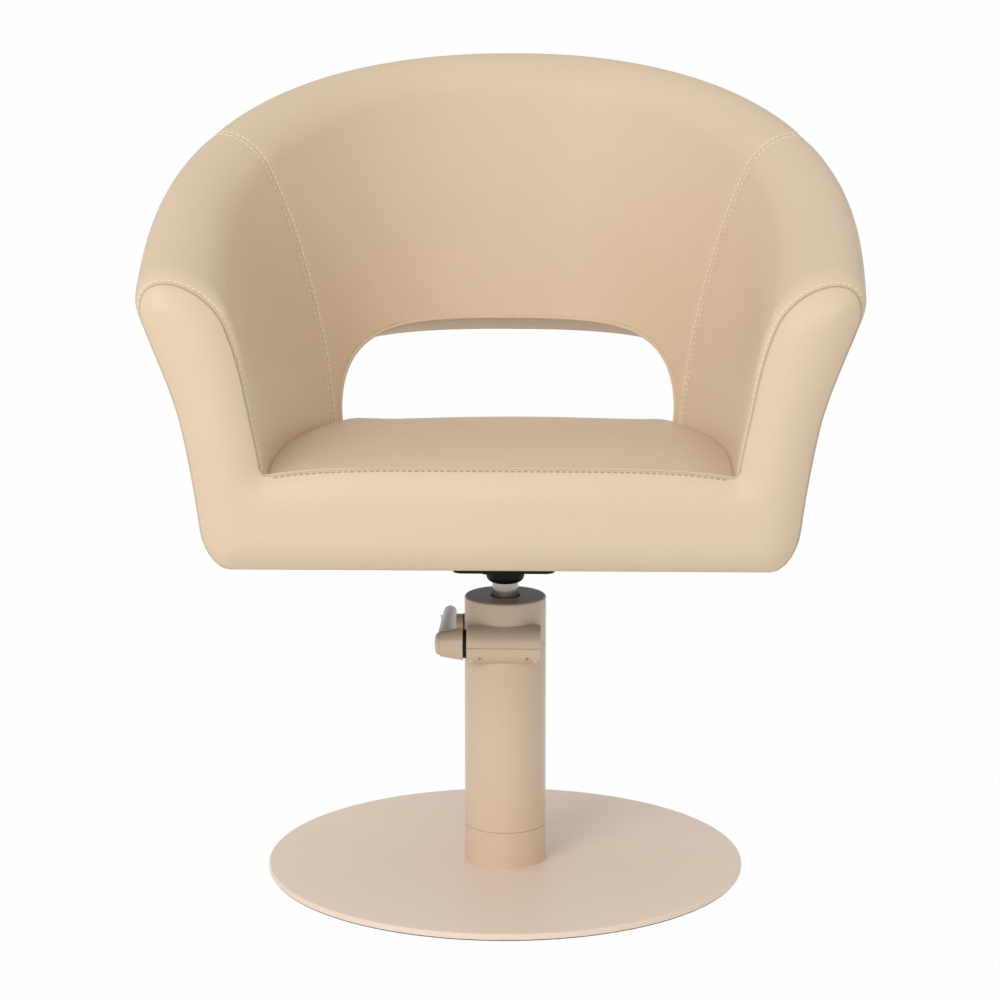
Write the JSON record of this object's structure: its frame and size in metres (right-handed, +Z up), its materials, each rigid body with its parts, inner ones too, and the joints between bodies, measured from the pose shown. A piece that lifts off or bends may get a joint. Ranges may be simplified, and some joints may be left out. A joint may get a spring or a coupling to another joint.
{
  "type": "hairdressing chair",
  "caption": "Upholstered tub chair with an open back on a round floor plate, with a hydraulic column, a foot pump lever and a free swivel.",
  "frame": {"origin": "middle of the floor plate's underside, on the column's axis", "axes": "+Z up, -Y the front of the chair, +X to the right as seen from the front; the lever is on the left"},
  "size_m": [0.707, 0.5664, 0.831],
  "materials": {
    "upholstery": "smooth beige leather over foam, satin",
    "column_paint": "satin beige paint",
    "plate_paint": "satin beige paint",
    "black_steel": "satin black paint",
    "black_rubber": "matte",
    "steel": "zinc plated",
    "brushed_rod": "brushed, bright",
    "bronze": "turned",
    "pale_alloy": "cast, satin",
    "plywood": "raw",
    "dust_cloth": "black non-woven cloth"
  },
  "bodies": {
    "base": {"base_disc": "plate_paint", "floor_pad": "black_rubber", "column_foot": "steel", "foot_bolts": "steel", "column_collar": "column_paint", "column_tube": "column_paint", "column_head": "column_paint", "housing_cover": "column_paint", "cover_screws": "column_paint", "bush_screws": "column_paint", "cylinder": "steel", "cylinder_plug": "steel", "rod_gland": "bronze", "rod_wiper": "black_rubber", "pump_barrel": "steel", "pump_seal": "black_rubber", "shaft_bushes": "bronze"},
    "lift": {"piston": "steel", "piston_ring": "black_rubber"},
    "seat": {"piston_rod": "brushed_rod", "rod_clip": "steel", "seat_socket": "black_steel", "socket_screw": "black_steel", "seat_bracket": "black_steel", "bracket_bolts": "steel", "tee_nuts": "steel", "seat_board": "plywood", "front_rail": "plywood", "deck_rails": "plywood", "frame_screws": "steel", "seat_deck": "plywood", "side_panel_left": "plywood", "side_panel_right": "plywood", "back_band": "plywood", "rear_rail": "plywood", "left_arm_cover": "upholstery", "right_arm_cover": "upholstery", "back_cover": "upholstery", "opening_trim": "upholstery", "rear_cover": "upholstery", "front_panel": "upholstery", "seat_cushion": "upholstery", "dust_cover": "dust_cloth", "dust_staples": "steel"},
    "lever": {"cross_shaft": "steel", "shaft_clip": "steel", "cam_finger": "steel", "lever_hub": "column_paint", "hub_cap": "column_paint", "hub_screw": "steel", "hub_washer": "black_rubber", "lever_arm": "pale_alloy", "pedal_pin": "steel", "pedal_sleeve": "column_paint", "pedal_grip": "black_rubber"},
    "plunger": {"pump_plunger": "steel", "plunger_spring": "steel"}
  },
  "joints": [
    {"name": "seat_lift", "type": "slide", "parent": "base", "child": "lift", "axis": [0, 0, 1], "range_m": [0, 0.15]},
    {"name": "seat_swivel", "type": "hinge", "parent": "lift", "child": "seat", "pos_m": [0, 0, 0.2], "axis": [0, 0, 1], "continuous": true},
    {"name": "pump_lever", "type": "hinge", "parent": "base", "child": "lever", "pos_m": [0, -0.038, 0.25], "axis": [-1, 0, 0], "range_deg": [0, 25], "stiffness_Nm_per_rad": 2, "springref_deg": -28.65},
    {"name": "plunger_slide", "type": "slide", "parent": "base", "child": "plunger", "axis": [0, 0, -1], "range_m": [0, 0.005], "deforming": ["plunger_spring"]}
  ],
  "couplings": [
    {"joint": "plunger_slide", "follows": "pump_lever", "m_per_rad": 0.0113}
  ]
}
